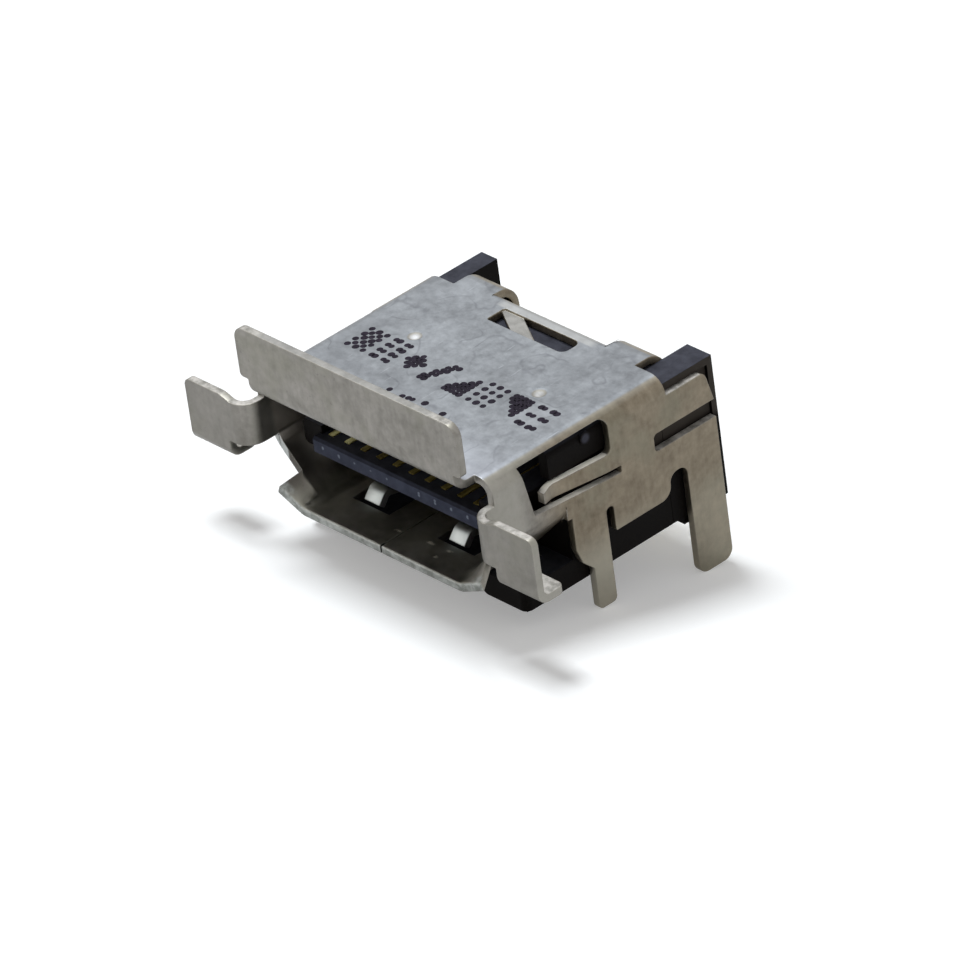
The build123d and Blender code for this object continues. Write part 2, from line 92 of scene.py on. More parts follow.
def new_material(name):
    """A material with nodes, and its node tree."""
    material = bpy.data.materials.new(name)
    material.use_nodes = True
    return material, material.node_tree


def dress(piece, material):
    """A piece's material slots emptied, and given this one material."""
    piece.data.materials.clear()
    piece.data.materials.append(material)


def node(tree, kind, **settings):
    """A node of a kind, with plain properties set."""
    made = tree.nodes.new(kind)
    for key, value in settings.items():
        setattr(made, key, value)
    return made


def math_node(tree, operation, first, second=0.0):
    """The result of a Math node on two inputs, each a socket or a number."""
    made = node(tree, "ShaderNodeMath", operation=operation)
    for slot, value in enumerate((first, second)):
        if isinstance(value, bpy.types.NodeSocket):
            tree.links.new(value, made.inputs[slot])
        else:
            made.inputs[slot].default_value = value
    return made.outputs[0]


def mapped(tree, value, limits, ends, curve="LINEAR"):
    """A socket mapped from its two limits to two ends."""
    made = node(tree, "ShaderNodeMapRange", interpolation_type=curve)
    labels = ("From Min", "From Max", "To Min", "To Max")
    for label, number in zip(labels, (*limits, *ends)):
        made.inputs[label].default_value = number
    tree.links.new(value, made.inputs["Value"])
    return made.outputs["Result"]


def shown_rays(tree):
    """1 for what the camera, a reflection or a see-through ray looks at, otherwise 0."""
    path = node(tree, "ShaderNodeLightPath")
    seen = math_node(tree, "MAXIMUM", path.outputs["Is Camera Ray"], path.outputs["Is Glossy Ray"])
    return math_node(tree, "MAXIMUM", seen, path.outputs["Is Transmission Ray"])


floor_material, tree = new_material("white_table")
tree.nodes.clear()
paper = node(tree, "ShaderNodeBsdfDiffuse")
paper.inputs["Color"].default_value = paper_tone
glow = node(tree, "ShaderNodeEmission")
glow.inputs["Color"].default_value = white
glow_strength = math_node(tree, "MULTIPLY", shown_rays(tree), floor_glow)
tree.links.new(glow_strength, glow.inputs["Strength"])
table = node(tree, "ShaderNodeAddShader")
tree.links.new(paper.outputs[0], table.inputs[0])
tree.links.new(glow.outputs[0], table.inputs[1])
see_through = node(tree, "ShaderNodeBsdfTransparent")
floor_side = node(tree, "ShaderNodeNewGeometry")
one_sided = node(tree, "ShaderNodeMixShader")
tree.links.new(floor_side.outputs["Backfacing"], one_sided.inputs[0])
tree.links.new(table.outputs[0], one_sided.inputs[1])
tree.links.new(see_through.outputs[0], one_sided.inputs[2])
output = node(tree, "ShaderNodeOutputMaterial")
tree.links.new(one_sided.outputs[0], output.inputs["Surface"])
dress(floor, floor_material)

world = bpy.data.worlds.new("white_room")
scene.world = world
world.use_nodes = True
tree = world.node_tree
tree.nodes.clear()
room = node(tree, "ShaderNodeBackground")
room.inputs["Color"].default_value = white
room_strength = mapped(tree, shown_rays(tree), limits=(0.0, 1.0), ends=(room_as_light, room_as_seen))
tree.links.new(room_strength, room.inputs["Strength"])
output = node(tree, "ShaderNodeOutputWorld")
tree.links.new(room.outputs[0], output.inputs["Surface"])


# Lamps: one square softbox high over the socket's left side, and a weak one low at its
# front left that stands for a reflecting card. Both face the middle of the socket.
lamp_target = Vector((0, 0, 6 * MM))


def softbox(name, place, size, power, colour):
    """A square lamp that faces the socket."""
    bpy.ops.object.light_add(type="AREA", location=place)
    lamp = bpy.context.object
    lamp.name = name
    lamp.data.shape = "SQUARE"
    lamp.data.size = size
    lamp.data.energy = power
    lamp.data.color = colour
    aim = lamp_target - Vector(place)
    lamp.rotation_euler = aim.to_track_quat("-Z", "Y").to_euler()


softbox("overhead_softbox", place=(-0.135, 0.035, 0.47), size=0.15, power=1.85, colour=(0.93, 0.97, 1.0))
softbox("low_left_card", place=(-0.26, -0.30, 0.09), size=0.2, power=0.25, colour=(1.0, 0.98, 0.94))


# Shell: thin sheet steel with a dull tin-like plating, stamped and folded, its edges
# tumbled round. The sides are warm and blotched and the top is cooler, veined and finely
# scratched, these tones partly the plating's own and partly painted reflection. Cut edges
# and fold crests are partly rubbed bright and partly painted highlight, and the dimples'
# crests carry a painted highlight.
plate_top = 10.2 * MM
merge_distance = 0.0006 * MM
same_plane = math.radians(0.6)
tumbled_radius = 0.035 * MM
tumbled_steps = 2
tumbled_from = math.radians(50)
smooth_below = math.radians(35)
full_weight = 100


def pick(*pieces):
    """Nothing selected but these pieces, the first of them active."""
    bpy.ops.object.select_all(action="DESELECT")
    for piece in pieces:
        piece.select_set(True)
    bpy.context.view_layer.objects.active = pieces[0]


pick(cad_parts["shell"])
bpy.ops.object.duplicate()
shell_sheet = bpy.context.object
shell_sheet.name = "shell_sheet"
bpy.ops.object.mode_set(mode="EDIT")
bpy.ops.mesh.select_all(action="SELECT")
bpy.ops.mesh.remove_doubles(threshold=merge_distance)
bpy.ops.mesh.dissolve_limited(angle_limit=same_plane)
bpy.ops.object.mode_set(mode="OBJECT")
tumbled = shell_sheet.modifiers.new("tumbled_edges", "BEVEL")
tumbled.width = tumbled_radius
tumbled.segments = tumbled_steps
tumbled.limit_method = "ANGLE"
tumbled.angle_limit = tumbled_from
tumbled.use_clamp_overlap = False
tumbled.miter_outer = "MITER_ARC"
bpy.ops.object.modifier_apply(modifier="tumbled_edges")
pick(shell_sheet)
bpy.ops.object.shade_smooth_by_angle(angle=smooth_below)
level_faces = shell_sheet.modifiers.new("level_faces", "WEIGHTED_NORMAL")
level_faces.mode = "FACE_AREA"
level_faces.weight = full_weight
level_faces.keep_sharp = True
bpy.ops.object.modifier_apply(modifier="level_faces")


def step_between(tree, value, limits):
    """A soft step of a socket: 0 at the first limit, 1 at the second."""
    return mapped(tree, value, limits, ends=(0.0, 1.0), curve="SMOOTHSTEP")


def product(tree, *factors):
    """Sockets and numbers multiplied together."""
    total = factors[0]
    for factor in factors[1:]:
        total = math_node(tree, "MULTIPLY", total, factor)
    return total


def opposite(tree, mask):
    """1 where a mask is 0, and 0 where it is 1."""
    return math_node(tree, "SUBTRACT", 1.0, mask)


def weighted(tree, shares):
    """The sum of sockets, each times its share."""
    total = 0.0
    for value, share in shares:
        total = math_node(tree, "ADD", product(tree, value, share), total)
    return total


def axes_of(tree, vector):
    """The X, Y and Z of a vector socket."""
    made = node(tree, "ShaderNodeSeparateXYZ")
    tree.links.new(vector, made.inputs[0])
    return made.outputs["X"], made.outputs["Y"], made.outputs["Z"]


def stretched(tree, vector, scale, turn=(0, 0, 0)):
    """A vector socket turned and stretched, for marks that run one way."""
    made = node(tree, "ShaderNodeMapping")
    made.inputs["Rotation"].default_value = turn
    made.inputs["Scale"].default_value = scale
    tree.links.new(vector, made.inputs["Vector"])
    return made.outputs["Vector"]


def noise(tree, vector, scale, detail, roughness=0.5, distortion=0.0):
    """The grey value of a noise texture on a vector socket."""
    made = node(tree, "ShaderNodeTexNoise")
    made.inputs["Scale"].default_value = scale
    made.inputs["Detail"].default_value = detail
    made.inputs["Roughness"].default_value = roughness
    made.inputs["Distortion"].default_value = distortion
    tree.links.new(vector, made.inputs["Vector"])
    return made.outputs["Fac"]


def spot(tree, vector, centre, radius, core=0.4):
    """1 at a point of the piece and in the core of the radius, falling to 0 at the radius."""
    reach = node(tree, "ShaderNodeVectorMath", operation="DISTANCE")
    tree.links.new(vector, reach.inputs[0])
    reach.inputs[1].default_value = centre
    return step_between(tree, reach.outputs["Value"], (radius, radius * core))


def squashed_spot(tree, vector, centre, radius, squash):
    """A spot that is squashed along Y, or drawn out where squash is below 1."""
    x, y, z = centre
    squashed = stretched(tree, vector, (1.0, squash, 1.0))
    return spot(tree, squashed, (x, y * squash, z), radius)


def on_side(side, centre):
    """A place on the right, or its mirror image where side is -1."""
    return (side * centre[0], centre[1], centre[2])


def two_tones(tree, value, tones, limits):
    """A ramp from the first tone to the second, between two limits of a socket."""
    made = node(tree, "ShaderNodeValToRGB")
    for element, tone, limit in zip(made.color_ramp.elements, tones, limits):
        element.position = limit
        element.color = (*tone, 1)
    tree.links.new(value, made.inputs["Fac"])
    return made.outputs["Color"]


def laid_over(tree, under, over, *amounts):
    """One colour laid over another, by its amounts multiplied; over is a socket or a tone."""
    made = node(tree, "ShaderNodeMix", data_type="RGBA")
    tree.links.new(product(tree, *amounts), made.inputs["Factor"])
    tree.links.new(under, made.inputs["A"])
    if isinstance(over, bpy.types.NodeSocket):
        tree.links.new(over, made.inputs["B"])
    else:
        made.inputs["B"].default_value = (*over, 1)
    return made.outputs["Result"]


def grained(tree, height, normal, strength, distance):
    """A normal roughened by a height socket."""
    made = node(tree, "ShaderNodeBump")
    made.inputs["Strength"].default_value = strength
    made.inputs["Distance"].default_value = distance
    tree.links.new(height, made.inputs["Height"])
    tree.links.new(normal, made.inputs["Normal"])
    return made.outputs["Normal"]


shell_metal, tree = new_material("plated_sheet")
shader = tree.nodes["Principled BSDF"]
shader.inputs["Metallic"].default_value = 1.0
place = node(tree, "ShaderNodeTexCoord").outputs["Object"]
x, y, z = axes_of(tree, place)
from_middle = math_node(tree, "ABSOLUTE", x)
facing = node(tree, "ShaderNodeNewGeometry").outputs["Normal"]
facing_x, facing_y, facing_z = axes_of(tree, facing)

# A fine mottle, wide blotches and faint upright streaks run through the whole plating.
streak_stretch = (4200, 4200, 560)
mottle = noise(tree, place, scale=2600, detail=5, roughness=0.62)
blotch = noise(tree, place, scale=430, detail=4, roughness=0.6, distortion=0.5)
drawn = noise(tree, stretched(tree, place, streak_stretch), scale=1.0, detail=3, roughness=0.6)
blend = weighted(tree, ((mottle, 0.36), (blotch, 0.46), (drawn, 0.18)))
blend_limits = (0.37, 0.63)

# The sides are warm and dark, partly a warm tarnish and partly a painted reflection of the
# shaded floor, and the front half is paler and greyer.
side_tones = ((0.120, 0.098, 0.070), (0.256, 0.219, 0.164))
front_tones = ((0.155, 0.146, 0.129), (0.300, 0.285, 0.262))
front_half = (-2.2 * MM, -5.0 * MM)
sides = two_tones(tree, blend, side_tones, blend_limits)
fronts = two_tones(tree, blend, front_tones, blend_limits)
colour = laid_over(tree, sides, fronts, step_between(tree, y, front_half))

# Patches of it are tarnished a greenish grey, and small pits are dark.
tarnish_tone = (0.200, 0.198, 0.150)
tarnish_limits = (0.48, 0.66)
tarnish_share = 0.34
tarnish = step_between(tree, noise(tree, place, scale=300, detail=3, roughness=0.6), tarnish_limits)
colour = laid_over(tree, colour, tarnish_tone, tarnish, tarnish_share)
pit_tone = (0.07, 0.062, 0.055)
pit_limits = (0.70, 0.76)
pit_share = 0.25
pits = step_between(tree, noise(tree, place, scale=4200, detail=2), pit_limits)
colour = laid_over(tree, colour, pit_tone, pits, pit_share)

# The lower ends are painted paler, and paler still in front of the rear legs: painted
# light where they face the shaded floor.
low_light_tone = (0.33, 0.32, 0.26)
low_end = (5.5 * MM, 3.0 * MM)
low_light_share = 0.28
low_down = step_between(tree, z, low_end)
colour = laid_over(tree, colour, low_light_tone, low_down, low_light_share)
front_leg_light_tone = (0.40, 0.385, 0.325)
front_leg_reach = (3.0 * MM, 0.0)
front_leg_light_share = 0.42
before_rear_legs = step_between(tree, y, front_leg_reach)
colour = laid_over(tree, colour, front_leg_light_tone, low_down, before_rear_legs, front_leg_light_share)

# The top plate is cool and frosted, partly the plating's own tone and partly a painted
# reflection of the cool light above, with two sizes of dark, broken veins.
frost_tones = ((0.186, 0.197, 0.211), (0.282, 0.295, 0.312))
frost_limits = (0.36, 0.66)
frost = weighted(tree, ((mottle, 0.55), (blotch, 0.45)))
cool = two_tones(tree, frost, frost_tones, frost_limits)
vein_tone = (0.095, 0.098, 0.112)
break_limits = (0.42, 0.58)
break_size = 1.3
middle_grey = 0.5
for vein_scale, vein_width, vein_share in ((520, 0.024, 0.36), (1150, 0.018, 0.16)):
    winding = noise(tree, place, scale=vein_scale, detail=1.5, distortion=0.2)
    from_vein = math_node(tree, "ABSOLUTE", math_node(tree, "SUBTRACT", winding, middle_grey))
    veins = step_between(tree, from_vein, (vein_width, 0.0))
    unbroken = step_between(tree, noise(tree, place, scale=vein_scale * break_size, detail=2), break_limits)
    cool = laid_over(tree, cool, vein_tone, veins, unbroken, vein_share)

# It has fine pale scratches in three directions.
scratch_tone = (0.45, 0.47, 0.50)
scratch_stretch = (8000, 620, 620)
scratch_edge = 0.04
scratch_share = 0.3
for turn, threshold in ((0.45, 0.735), (-1.05, 0.745), (1.8, 0.74)):
    hair = noise(tree, stretched(tree, place, scratch_stretch, (0, 0, turn)), scale=1.0, detail=2)
    scratches = step_between(tree, hair, (threshold, threshold + scratch_edge))
    cool = laid_over(tree, cool, scratch_tone, scratches, scratch_share)

# It is painted brighter towards the tab, a painted reflection of cool light, and the narrow
# strip behind its window is a warmer grey.
near_tab_light_tone = (0.44, 0.455, 0.505)
near_tab = (-3.2 * MM, -6.8 * MM)
near_tab_light_share = 0.42
cool = laid_over(tree, cool, near_tab_light_tone, step_between(tree, y, near_tab), near_tab_light_share)
strip_tone = (0.40, 0.40, 0.39)
strip_front = (3.50 * MM, 3.62 * MM)
strip_left = (-3.0 * MM, -2.5 * MM)
strip_right = (3.3 * MM, 2.7 * MM)
strip_share = 0.65
strip = product(tree, step_between(tree, y, strip_front), step_between(tree, x, strip_left),
                step_between(tree, x, strip_right))
cool = laid_over(tree, cool, strip_tone, strip, strip_share)

# The cool tones go on the plate's upper face alone.
facing_up = (0.70, 0.95)
plate_from_below = (plate_top - 0.10 * MM, plate_top - 0.03 * MM)
plate_from_above = (plate_top + 0.8 * MM, plate_top + 0.4 * MM)
up = step_between(tree, facing_z, facing_up)
at_top = product(tree, step_between(tree, z, plate_from_below),
                 step_between(tree, z, plate_from_above))
colour = laid_over(tree, colour, cool, up, at_top)

# The bent necks of the ears are painted pale: a painted highlight on the bend.
neck_highlight_tone = (0.34, 0.33, 0.29)
neck_side = (6.75 * MM, 7.05 * MM)
neck_front = (-4.5 * MM, -5.1 * MM)
neck_turn = (-0.75, -0.35)
neck_highlight_share = 0.45
neck_highlight = product(tree, step_between(tree, from_middle, neck_side), step_between(tree, y, neck_front),
               step_between(tree, facing_y, neck_turn))
colour = laid_over(tree, colour, neck_highlight_tone, neck_highlight, neck_highlight_share)

# Outside the mouth and off the top plate, whatever faces up is painted paler, a painted
# light from above.
up_facing_light_tone = (0.34, 0.325, 0.28)
up_facing_light_share = 0.5
outer_sides = (6.7 * MM, 6.9 * MM)
upper_parts = (8.6 * MM, 9.0 * MM)
outside = math_node(tree, "MAXIMUM", step_between(tree, from_middle, outer_sides),
                    step_between(tree, z, upper_parts))
below_top = product(tree, outside, opposite(tree, at_top))
colour = laid_over(tree, colour, up_facing_light_tone, up, below_top, up_facing_light_share)

# The bar in the window lies a little lower than the plate, and has a tone like the plate's.
sunk_tone = (0.226, 0.222, 0.211)
sunk_height = (9.7 * MM, 9.8 * MM)
sunk_width = (6.0 * MM, 5.0 * MM)
facing_straight_up = (0.93, 0.985)
level = step_between(tree, facing_z, facing_straight_up)
sunk = product(tree, below_top, step_between(tree, z, sunk_height),
               step_between(tree, from_middle, sunk_width))
colour = laid_over(tree, colour, sunk_tone, sunk, level)

# Level cut edges off the top plate are the palest, partly bare metal and partly painted
# light from above, but less so on the bar.
bare_and_lit_tones = ((0.23, 0.222, 0.205), (0.52, 0.50, 0.475))
cut_limits = (0.36, 0.64)
bare_and_lit_share = 0.9
sunk_dulling = 0.75
cut = product(tree, level, below_top, opposite(tree, product(tree, sunk, sunk_dulling)))
colour = laid_over(tree, colour, two_tones(tree, mottle, bare_and_lit_tones, cut_limits), cut, bare_and_lit_share)

# In the mouth, the left wall is painted pale, a painted light where the tab shades it,
# and the corner below it is painted dark, a painted shade.
inner_wall_light_tone = (0.62, 0.57, 0.51)
inner_wall_facing = (0.3, 0.7)
inner_wall_side = (-5.0 * MM, -6.0 * MM)
inner_wall_front = (-6.15 * MM, -5.75 * MM)
inner_wall_light_share = 0.75
inner_wall = product(tree, step_between(tree, facing_x, inner_wall_facing),
                     step_between(tree, x, inner_wall_side), step_between(tree, y, inner_wall_front))
colour = laid_over(tree, colour, inner_wall_light_tone, inner_wall, inner_wall_light_share)
corner_shade_tone = (0.052, 0.046, 0.040)
corner_place = (-6.5 * MM, -6.0 * MM, 5.6 * MM)
corner_radius = 1.8 * MM
corner_shade_share = 0.85
colour = laid_over(tree, colour, corner_shade_tone, spot(tree, place, corner_place, corner_radius), corner_shade_share)

# Of the faces towards the plug, the left wall's cut end is painted bright, a painted
# highlight, and the ears are painted darker, a painted shade.
towards_plug = (-0.35, -0.65)
facing_mouth = step_between(tree, facing_y, towards_plug)
wall_end_highlight_tone = (0.52, 0.54, 0.53)
wall_end_x = -6.95 * MM
wall_end_width = (0.50 * MM, 0.40 * MM)
wall_end_front = (-6.4 * MM, -6.2 * MM)
wall_end_top = (9.0 * MM, 8.6 * MM)
wall_end_highlight_share = 0.7
from_wall_end = math_node(tree, "ABSOLUTE", math_node(tree, "SUBTRACT", x, wall_end_x))
wall_end = product(tree, facing_mouth, step_between(tree, y, wall_end_front),
                   step_between(tree, from_wall_end, wall_end_width), step_between(tree, z, wall_end_top))
colour = laid_over(tree, colour, wall_end_highlight_tone, wall_end, wall_end_highlight_share)
ear_shade_tone = (0.150, 0.143, 0.128)
ear_side = (7.3 * MM, 7.7 * MM)
ear_shade_share = 0.32
ears = product(tree, facing_mouth, step_between(tree, from_middle, ear_side))
colour = laid_over(tree, colour, ear_shade_tone, ears, ear_shade_share)

# The cut edge of the flared lip is a pale grey.
lip_tones = ((0.165, 0.175, 0.165), (0.40, 0.42, 0.405))
lip_tone_limits = (0.38, 0.64)
lip_front = (-6.35 * MM, -6.55 * MM)
lip_top = (5.9 * MM, 5.6 * MM)
lip_share = 0.8
lip = product(tree, step_between(tree, y, lip_front), step_between(tree, z, lip_top))
lip_colour = two_tones(tree, mottle, lip_tones, lip_tone_limits)
colour = laid_over(tree, colour, lip_colour, lip, facing_mouth, lip_share)

# Edges and the crests of folds are partly rubbed bright and partly painted highlight, but
# not the rims of the two dimples.
rubbed_and_highlight_tone = (0.50, 0.49, 0.46)
rubbed_and_highlight_cosine = (0.985, 0.86)
rubbed_and_highlight_share = 0.45
edge_radius = 0.06 * MM
lip_extra_radius = 0.10 * MM
dimple_place = (3.85 * MM, -0.25 * MM, 10.3 * MM)
dimple_radius = 0.6 * MM
bevel_samples = 4
rounded = node(tree, "ShaderNodeBevel", samples=bevel_samples)
round_radius = math_node(tree, "ADD", product(tree, lip, lip_extra_radius), edge_radius)
tree.links.new(round_radius, rounded.inputs["Radius"])
turned = node(tree, "ShaderNodeVectorMath", operation="DOT_PRODUCT")
tree.links.new(rounded.outputs["Normal"], turned.inputs[0])
tree.links.new(facing, turned.inputs[1])
dimples = [on_side(side, dimple_place) for side in (-1, 1)]
dents = math_node(tree, "ADD", *[spot(tree, place, dimple, dimple_radius) for dimple in dimples])
rubbed_and_highlit = product(tree, step_between(tree, turned.outputs["Value"], rubbed_and_highlight_cosine), opposite(tree, dents))
colour = laid_over(tree, colour, rubbed_and_highlight_tone, rubbed_and_highlit, rubbed_and_highlight_share)

# The seam in the lip, where the sheet's two edges meet, is dark.
seam_tone = (0.03, 0.03, 0.028)
seam_width = (0.075 * MM, 0.03 * MM)
colour = laid_over(tree, colour, seam_tone, step_between(tree, from_middle, seam_width), lip)

# Four small bright flecks lie on the mouth's floor.
fleck_tone = (1.0, 0.95, 0.84)
fleck_z = 4.5 * MM
fleck_radius = 0.34 * MM
fleck_squash = 2.6
fleck_limits = (0.42, 0.6)
fleck_breaks = step_between(tree, mottle, fleck_limits)
for fleck_x, fleck_y in ((-0.35, -5.47), (1.58, -5.29), (2.79, -5.26), (2.4, -5.9)):
    fleck_place = (fleck_x * MM, fleck_y * MM, fleck_z)
    fleck = squashed_spot(tree, place, fleck_place, fleck_radius, fleck_squash)
    colour = laid_over(tree, colour, fleck_tone, fleck, fleck_breaks)

# On each side, the dimple's crest, the spring in the floor and the upper edge of the
# spring in the side plate carry painted highlights.
crest_highlight_tone = (0.85, 0.86, 0.88)
crest_radius = 0.36 * MM
crest_limits = (0.30, 0.60)
floor_spring_highlight_tone = (0.40, 0.42, 0.41)
floor_spring_place = (2.65 * MM, -4.6 * MM, 5.0 * MM)
floor_spring_radius = 1.1 * MM
side_spring_highlight_tone = (0.97, 0.95, 0.88)
side_spring_place = (7.1 * MM, -1.8 * MM, 8.1 * MM)
side_spring_radius = 1.5 * MM
side_spring_squash = 0.5
crest_breaks = step_between(tree, blotch, crest_limits)
for side, dimple in zip((-1, 1), dimples):
    crest_highlight = spot(tree, place, dimple, crest_radius)
    colour = laid_over(tree, colour, crest_highlight_tone, crest_highlight, crest_breaks)
    floor_spring_highlight = spot(tree, place, on_side(side, floor_spring_place), floor_spring_radius)
    colour = laid_over(tree, colour, floor_spring_highlight_tone, floor_spring_highlight)
    side_spring_highlight = squashed_spot(tree, place, on_side(side, side_spring_place), side_spring_radius,
                           side_spring_squash)
    colour = laid_over(tree, colour, side_spring_highlight_tone, side_spring_highlight, cut)
tree.links.new(colour, shader.inputs["Base Color"])

# Cut edges and dimples are duller than the rest, and a fine grain lies on the whole sheet.
sheen_limits = (0.35, 0.65)
sheen_roughness = (0.36, 0.54)
cut_roughness = 0.28
dent_roughness = 0.25
grain_strength = 0.45
grain_depth = 0.02 * MM
rough = mapped(tree, blend, sheen_limits, sheen_roughness)
rough = math_node(tree, "ADD", rough, product(tree, cut, cut_roughness))
rough = math_node(tree, "ADD", rough, product(tree, dents, dent_roughness))
tree.links.new(rough, shader.inputs["Roughness"])
grain = grained(tree, blend, rounded.outputs["Normal"], grain_strength, grain_depth)
tree.links.new(grain, shader.inputs["Normal"])
dress(shell_sheet, shell_metal)
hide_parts("shell")
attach(shell_sheet, "root")


# Insulator and tail comb: warm black moulded plastic with a very fine spark-eroded grain.
# Its upward faces carry a painted reflection of the sky, and the tongue's front is slate
# blue with one pale witness mark in front of each upper contact.
black_plastic, tree = new_material("black_moulding")
shader = tree.nodes["Principled BSDF"]
shader.inputs["Specular IOR Level"].default_value = 0.05
place = node(tree, "ShaderNodeTexCoord").outputs["Object"]
x, y, z = axes_of(tree, place)
facing = node(tree, "ShaderNodeNewGeometry").outputs["Normal"]
facing_x, facing_y, facing_z = axes_of(tree, facing)

# The bare plastic is almost black. Its upward faces carry a painted reflection of the sky,
# paler higher up.
skin_tones = ((0.0022, 0.0016, 0.0014), (0.0060, 0.0046, 0.0040))
skin_limits = (0.3, 0.7)
low_sky_sheen_tones = ((0.018, 0.018, 0.022), (0.034, 0.035, 0.043))
high_sky_sheen_tones = ((0.036, 0.037, 0.048), (0.062, 0.064, 0.082))
cloud_limits = (0.35, 0.68)
sky_sheen_rise = (6.0 * MM, 9.5 * MM)
sky_sheen_facing = (0.5, 0.95)
skin = noise(tree, place, scale=9000, detail=3, roughness=0.6)
cloud = noise(tree, place, scale=1500, detail=3, roughness=0.6)
sky_sheen_low = two_tones(tree, cloud, low_sky_sheen_tones, cloud_limits)
sky_sheen_high = two_tones(tree, cloud, high_sky_sheen_tones, cloud_limits)
sky_sheen = laid_over(tree, sky_sheen_low, sky_sheen_high, step_between(tree, z, sky_sheen_rise))
colour = two_tones(tree, skin, skin_tones, skin_limits)
colour = laid_over(tree, colour, sky_sheen, step_between(tree, facing_z, sky_sheen_facing))

# The tongue's front is slate blue.
slate_tones = ((0.030, 0.034, 0.054), (0.050, 0.056, 0.084))
tongue_front = (-5.2 * MM, -5.35 * MM)
tongue_low = (6.3 * MM, 6.42 * MM)
front_turn = (-0.5, -0.9)
slate = two_tones(tree, cloud, slate_tones, cloud_limits)
tongue = product(tree, step_between(tree, y, tongue_front), step_between(tree, z, tongue_low),
                 step_between(tree, facing_y, front_turn))
colour = laid_over(tree, colour, slate, tongue)

# The body shows brown in the slot of the right side plate, and its round bosses are grey.
slot_tone = (0.052, 0.044, 0.037)
slot_turn = (0.5, 0.9)
slot_side = (6.4 * MM, 6.7 * MM)
slot_front = (1.8 * MM, 2.2 * MM)
slot_low = (6.8 * MM, 7.2 * MM)
behind_slot = product(tree, step_between(tree, facing_x, slot_turn), step_between(tree, x, slot_side),
                      step_between(tree, y, slot_front), step_between(tree, z, slot_low))
colour = laid_over(tree, colour, slot_tone, behind_slot)
boss_tone = (0.060, 0.060, 0.078)
boss_place = (6.95 * MM, -0.7 * MM, 9.35 * MM)
boss_radius = 0.30 * MM
for side in (-1, 1):
    colour = laid_over(tree, colour, boss_tone, spot(tree, place, on_side(side, boss_place), boss_radius))

# One witness mark in front of each upper contact, which are two pitches apart.
contact_pitch = 0.5 * MM
contacts = [piece for name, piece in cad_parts.items() if name.startswith("contact_")]
contact_reach = (len(contacts) - 1) / 2 * contact_pitch
speck_tone = (0.27, 0.30, 0.37)
speck_z = 6.98 * MM
speck_wobble = 0.5 * MM
speck_radius = (0.10 * MM, 0.03 * MM)
speck_share = 0.55
beside = math_node(tree, "PINGPONG", math_node(tree, "ADD", x, contact_reach), contact_pitch)
above = math_node(tree, "ABSOLUTE", math_node(tree, "SUBTRACT", z, speck_z))
wobble = product(tree, math_node(tree, "SUBTRACT", cloud, middle_grey), speck_wobble)
above = math_node(tree, "ADD", above, wobble)
squares = math_node(tree, "ADD", product(tree, beside, beside), product(tree, above, above))
specks = step_between(tree, math_node(tree, "SQRT", squares), speck_radius)
colour = laid_over(tree, colour, speck_tone, specks, tongue, speck_share)
tree.links.new(colour, shader.inputs["Base Color"])

# It is matt, its edges are a little round, and the spark-eroded grain lies all over.
matt_roughness = (0.42, 0.62)
moulded_radius = 0.05 * MM
moulded_samples = 2
spark_strength = 0.3
spark_depth = 0.006 * MM
tree.links.new(mapped(tree, skin, (0.0, 1.0), matt_roughness), shader.inputs["Roughness"])
rounded = node(tree, "ShaderNodeBevel", samples=moulded_samples)
rounded.inputs["Radius"].default_value = moulded_radius
grain = grained(tree, skin, rounded.outputs["Normal"], spark_strength, spark_depth)
tree.links.new(grain, shader.inputs["Normal"])
for name in ("housing", "tail_aligner"):
    dress(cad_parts[name], black_plastic)


# Contacts: bent strips of copper alloy with thin dull gold plating, a little uneven along
# each strip. On the tongue the leftmost carry painted light and the others painted shade,
# and behind it all are plain gold.
# The bright left tones are painted light, and the dim ones to their right are painted shade.
lit_left_tones = ((0.60, 0.52, 0.17), (1.0, 0.95, 0.50))
left_limits = (0.32, 0.62)
shaded_tones = ((0.20, 0.145, 0.035), (0.52, 0.42, 0.13))
tail_tones = ((0.44, 0.35, 0.12), (0.80, 0.69, 0.31))
wear_limits = (0.32, 0.66)
wear_stretch = (2600, 700, 700)
shaded_side = (-3.9 * MM, -2.2 * MM)
tail_end = (0.0, 2.0 * MM)
gold_roughness = (0.4, 0.6)
gold, tree = new_material("thin_gold")
shader = tree.nodes["Principled BSDF"]
shader.inputs["Metallic"].default_value = 1.0
place = node(tree, "ShaderNodeTexCoord").outputs["Object"]
x, y = axes_of(tree, place)[:2]
wear = noise(tree, stretched(tree, place, wear_stretch), scale=1.0, detail=4, roughness=0.6)
lit_gold = two_tones(tree, wear, lit_left_tones, left_limits)
shaded_gold = two_tones(tree, wear, shaded_tones, wear_limits)
tails = two_tones(tree, wear, tail_tones, wear_limits)
colour = laid_over(tree, lit_gold, shaded_gold, step_between(tree, x, shaded_side))
colour = laid_over(tree, colour, tails, step_between(tree, y, tail_end))
tree.links.new(colour, shader.inputs["Base Color"])
tree.links.new(mapped(tree, wear, (0.0, 1.0), gold_roughness), shader.inputs["Roughness"])
for contact in contacts:
    dress(contact, gold)


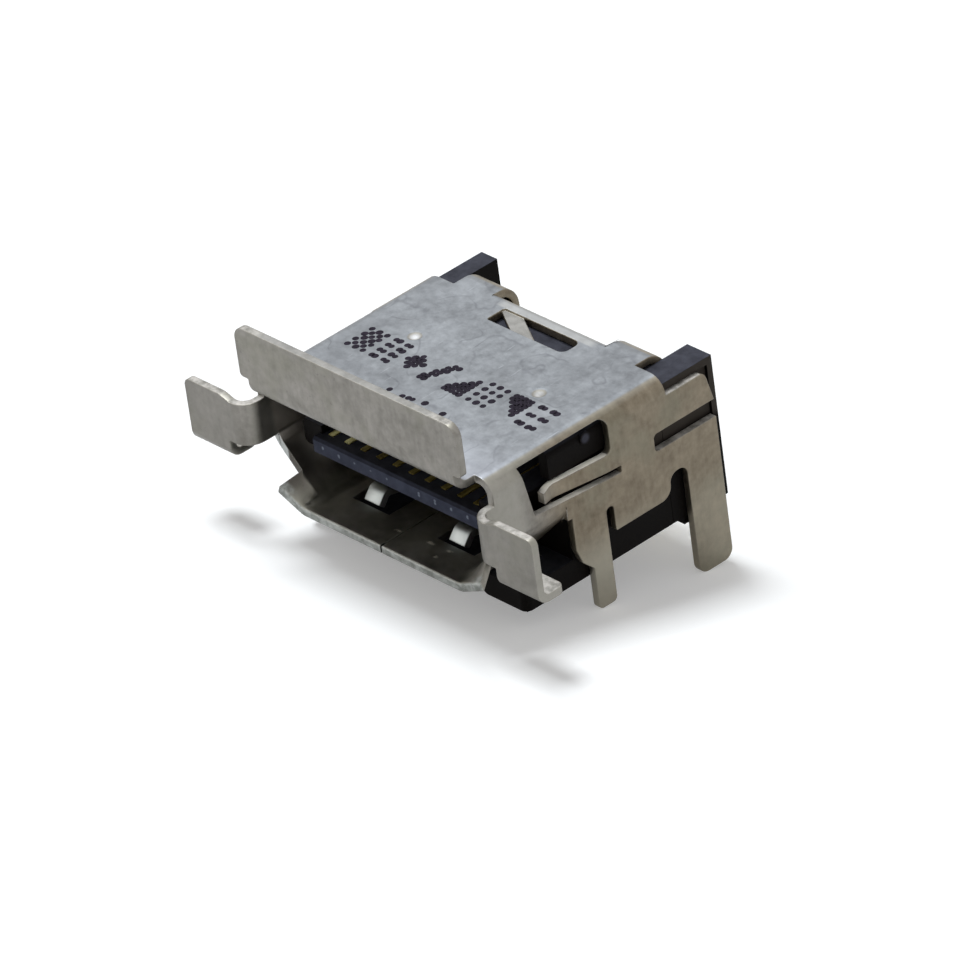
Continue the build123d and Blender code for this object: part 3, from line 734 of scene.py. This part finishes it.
# Ink marks: a row of eight plain dot patterns that a jet printer left on the top plate,
# with a few stray drops nearer the tab. Each drop dried as a low dark button.
drop_sides = 12
drop_radius = 0.172 * MM
drop_height = 0.012 * MM
drop_sink = 0.002 * MM
drop_top_share = 0.8
drop_pitch = 0.235 * MM
drop_shift = 0.02 * MM
drop_growth = (0.85, 1.1)
drops_across = 5
drops_along = 7
mark_pitch = 1.5 * MM
mark_row_y = -1.68 * MM
tab_face_y = cad_low[1]
patterns = (
    lambda across, along: (across + along) % 2 == 0,
    lambda across, along: along in (0, 2, 4, 6) and across in (0, 1, 3, 4),
    lambda across, along: abs(across - 2) + abs(along - 3) <= 2,
    lambda across, along: along // 2 == across or along // 2 == across - 1,
    lambda across, along: along <= across + 1,
    lambda across, along: across % 2 == 0 and along % 2 == 0,
    lambda across, along: along >= 5 - across,
    lambda across, along: along % 3 == 0 and across != 2,
)
stray_drops = ((-1.52, 3.63), (-0.69, 3.56), (-0.36, 3.60), (-0.12, 3.64), (0.52, 3.76), (1.78, 3.62))


def from_centre(index, count, pitch):
    """The place of one of a count of things, from the middle of their row."""
    return (index - (count - 1) / 2) * pitch


scatter = random.Random(4)
drop_places = []
for index, inked in enumerate(patterns):
    mark_x = from_centre(index, len(patterns), mark_pitch)
    for across in range(drops_across):
        for along in range(drops_along):
            if inked(across, along):
                drop_x = mark_x + from_centre(across, drops_across, drop_pitch)
                drop_y = mark_row_y + from_centre(along, drops_along, drop_pitch)
                drop_places.append((drop_x, drop_y))
drop_places += [(stray_x * MM, tab_face_y + stray_y * MM) for stray_x, stray_y in stray_drops]

bpy.ops.object.select_all(action="DESELECT")
bpy.ops.mesh.primitive_circle_add(
    vertices=drop_sides, radius=drop_radius, fill_type="NGON", location=(0, 0, plate_top - drop_sink))
drop = bpy.context.object
bpy.ops.object.mode_set(mode="EDIT")
bpy.ops.mesh.select_all(action="SELECT")
bpy.ops.mesh.extrude_region_move(TRANSFORM_OT_translate={"value": (0, 0, drop_height)})
bpy.ops.transform.resize(value=(drop_top_share, drop_top_share, 1))
bpy.ops.mesh.select_all(action="SELECT")
bpy.ops.mesh.normals_make_consistent(inside=False)
bpy.ops.object.mode_set(mode="OBJECT")
drops = [drop]
while len(drops) < len(drop_places):
    pick(drop)
    bpy.ops.object.duplicate()
    drops.append(bpy.context.object)
for made, (drop_x, drop_y) in zip(drops, drop_places):
    made.location.x = drop_x + scatter.uniform(-drop_shift, drop_shift)
    made.location.y = drop_y + scatter.uniform(-drop_shift, drop_shift)
    growth = scatter.uniform(*drop_growth)
    made.scale = (growth, growth, 1)
pick(*drops)
bpy.ops.object.join()
ink_marks = bpy.context.object
ink_marks.name = "ink_marks"
bpy.ops.object.transform_apply(location=True, rotation=True, scale=True)

ink_tones = ((0.008, 0.005, 0.012), (0.028, 0.020, 0.036))
ink_limits = (0.45, 0.8)
ink, tree = new_material("dried_ink")
shader = tree.nodes["Principled BSDF"]
shader.inputs["Specular IOR Level"].default_value = 0.1
shader.inputs["Roughness"].default_value = 0.6
place = node(tree, "ShaderNodeTexCoord").outputs["Object"]
thin = noise(tree, place, scale=3800, detail=4, roughness=0.6)
tree.links.new(two_tones(tree, thin, ink_tones, ink_limits), shader.inputs["Base Color"])
dress(ink_marks, ink)
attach(ink_marks, "root")
